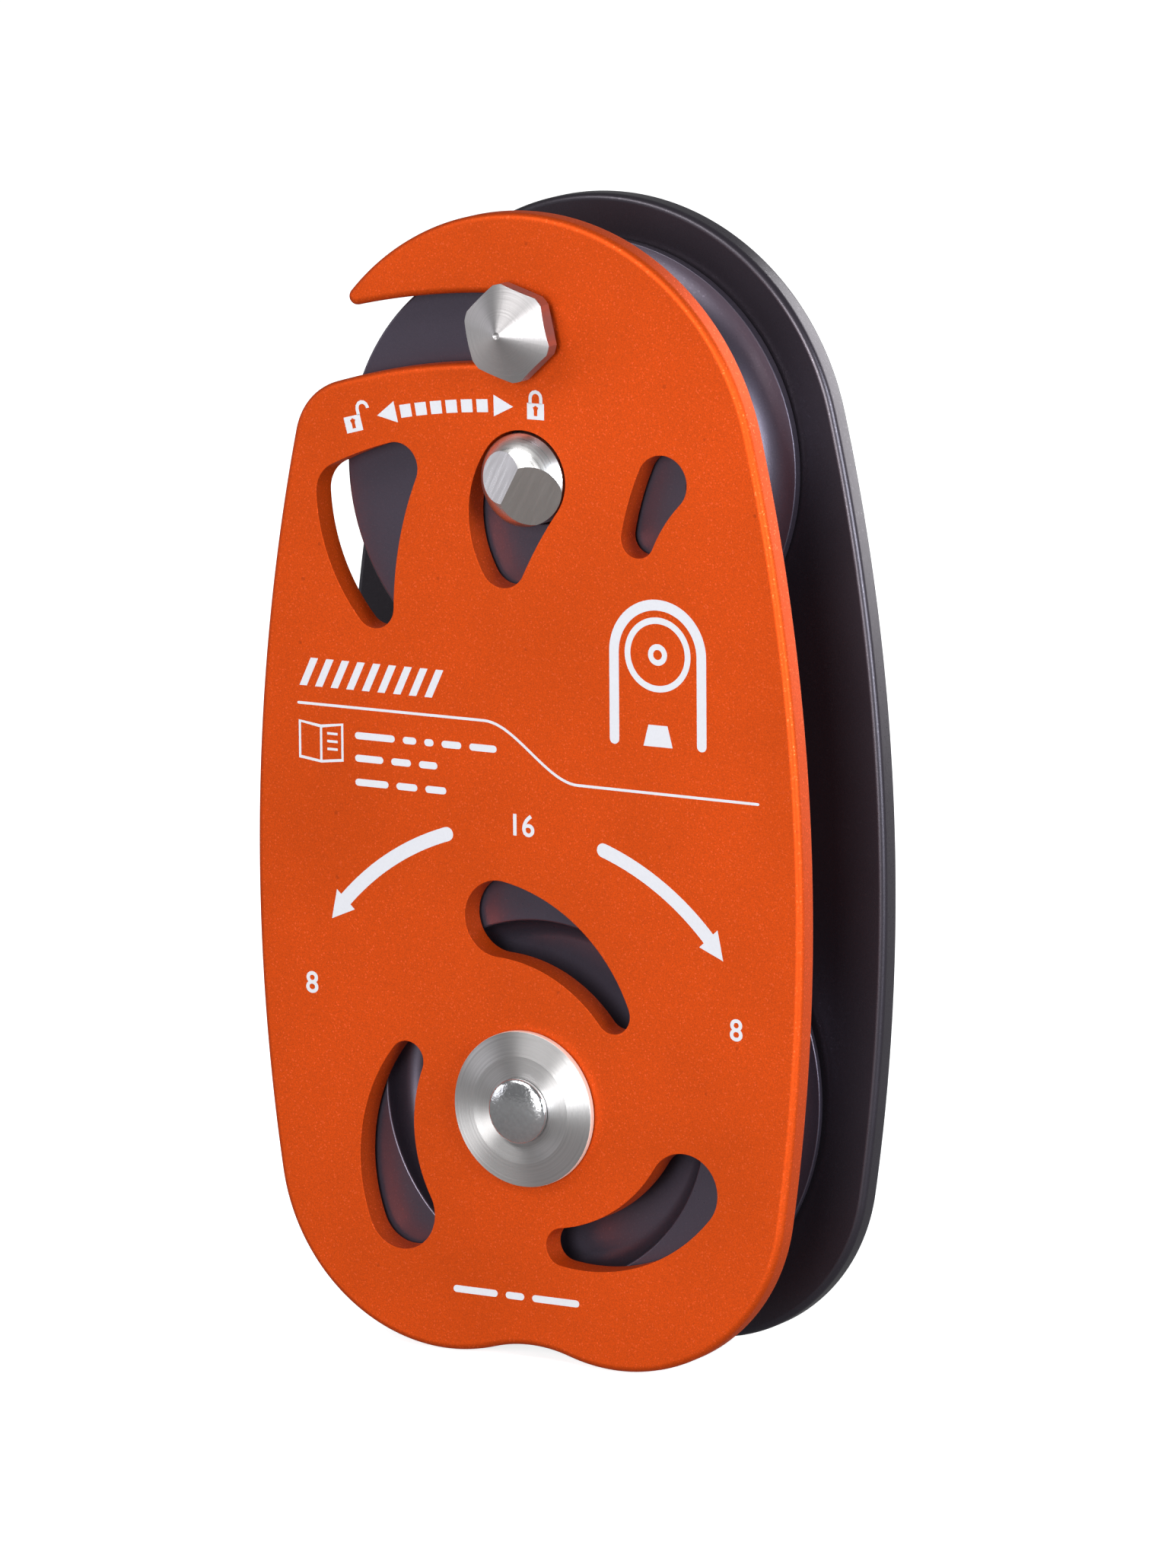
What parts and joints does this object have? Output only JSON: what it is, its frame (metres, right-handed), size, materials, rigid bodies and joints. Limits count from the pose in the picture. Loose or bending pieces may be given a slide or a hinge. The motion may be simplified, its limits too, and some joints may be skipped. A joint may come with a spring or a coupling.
{
  "type": "rope pulley",
  "caption": "Rope pulley: grooved sheave on a ball bearing, fixed grooved spool for the sling, and a hooked side plate that swings open past a sprung lock button",
  "frame": {"origin": "centre of the upper spool, midway between the two side plates", "axes": "+Y from the swinging front plate to the fixed rear plate, +Z from the rope sheave up to the spool, +X to the right seen from the front"},
  "size_m": [0.0876, 0.0379, 0.1612],
  "materials": {
    "orange_anodised": "bead-blasted orange anodised aluminium with white print",
    "black_anodised": "black-violet anodised aluminium, satin",
    "grey_anodised": "purple-grey hard anodised aluminium, satin",
    "stainless": "turned and milled stainless steel",
    "turned_steel": "face-turned stainless steel with fine concentric marks",
    "polished_steel": "polished steel with peened ends",
    "bearing_steel": "ground bearing steel",
    "bronze": "sintered bronze",
    "cage_plastic": "moulded plastic"
  },
  "bodies": {
    "root": {"rear_side_plate": "black_anodised", "upper_spool": "grey_anodised", "spool_screw_left": "stainless", "spool_screw_right": "stainless", "spool_dowel": "stainless", "lock_stud": "stainless", "lock_stud_nut": "stainless", "button_spring": "stainless", "main_axle": "polished_steel", "axle_washer_front": "turned_steel", "axle_washer_rear": "turned_steel", "axle_spacer_front": "stainless", "axle_spacer_rear": "stainless", "bearing_inner_race": "bearing_steel"},
    "side_plate": {"front_side_plate": "orange_anodised", "plate_pivot_bush": "bronze"},
    "sheave": {"rope_sheave": "grey_anodised", "bearing_outer_race": "bearing_steel", "bearing_shield_front": "bearing_steel", "bearing_shield_rear": "bearing_steel", "bearing_circlip": "stainless"},
    "ball_train": {"bearing_cage": "cage_plastic", "bearing_ball_1": "bearing_steel", "bearing_ball_2": "bearing_steel", "bearing_ball_3": "bearing_steel", "bearing_ball_4": "bearing_steel", "bearing_ball_5": "bearing_steel", "bearing_ball_6": "bearing_steel", "bearing_ball_7": "bearing_steel", "bearing_ball_8": "bearing_steel", "bearing_ball_9": "bearing_steel", "bearing_ball_10": "bearing_steel", "bearing_ball_11": "bearing_steel"},
    "button": {"lock_button": "stainless"}
  },
  "joints": [
    {"name": "side_plate_swing", "type": "hinge", "parent": "root", "child": "side_plate", "pos_m": [0, 0, -0.0882], "axis": [0, 1, 0], "range_deg": [0, 327], "deforming": ["lock_button"]},
    {"name": "sheave_spin", "type": "hinge", "parent": "root", "child": "sheave", "pos_m": [0, 0, -0.0882], "axis": [0, 1, 0], "continuous": true},
    {"name": "ball_train_orbit", "type": "hinge", "parent": "root", "child": "ball_train", "pos_m": [0, 0, -0.0882], "axis": [0, 1, 0], "continuous": true},
    {"name": "lock_button_press", "type": "slide", "parent": "root", "child": "button", "axis": [0, 1, 0], "range_m": [0, 0.008], "stiffness_N_per_m": 600, "springref_m": -0.006, "deforming": ["button_spring"]}
  ],
  "couplings": [
    {"joint": "ball_train_orbit", "follows": "sheave_spin", "ratio": 0.5889}
  ]
}
